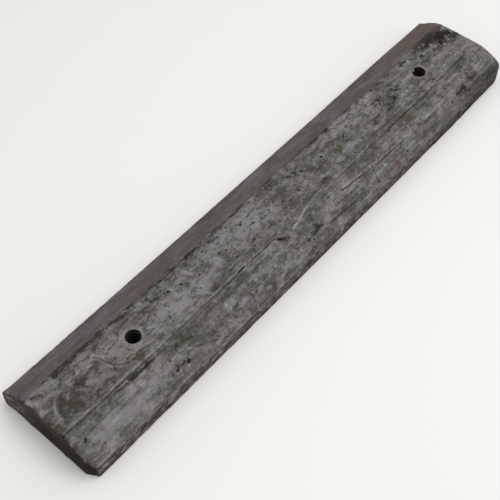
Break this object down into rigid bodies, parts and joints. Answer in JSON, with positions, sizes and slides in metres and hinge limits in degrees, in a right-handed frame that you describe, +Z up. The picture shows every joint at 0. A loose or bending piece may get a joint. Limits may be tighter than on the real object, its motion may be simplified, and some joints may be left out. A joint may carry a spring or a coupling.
{
  "type": "parking wheel stop",
  "caption": "Low precast concrete bar with sloped flanks and upright lips, vertical pin holes on its centre line and a cast-in reinforcing cage.",
  "frame": {"origin": "middle of the underside, on the surface the stop lies on", "axes": "+Z up, X along the stop with the rounded corner at +X, Y across it"},
  "size_m": [0.905, 0.16, 0.058],
  "materials": {
    "concrete": "weathered precast concrete, matt, stained by algae and dirt",
    "sleeve_steel": "rusted mild steel tube",
    "bar_steel": "hot rolled bar with light rust",
    "wire_steel": "annealed black binding wire",
    "chair_plastic": "moulded recycled polypropylene"
  },
  "bodies": {
    "root": {"concrete_body": "concrete", "pin_sleeve_near": "sleeve_steel", "pin_sleeve_far": "sleeve_steel", "reinforcing_bar_left": "bar_steel", "reinforcing_bar_right": "bar_steel", "cross_tie_1": "bar_steel", "cross_tie_2": "bar_steel", "cross_tie_3": "bar_steel", "cross_tie_4": "bar_steel", "tie_wire_1": "wire_steel", "tie_wire_2": "wire_steel", "tie_wire_3": "wire_steel", "tie_wire_4": "wire_steel", "tie_wire_5": "wire_steel", "tie_wire_6": "wire_steel", "tie_wire_7": "wire_steel", "tie_wire_8": "wire_steel", "bar_chair_1": "chair_plastic", "bar_chair_2": "chair_plastic", "bar_chair_3": "chair_plastic", "bar_chair_4": "chair_plastic"}
  },
  "joints": []
}
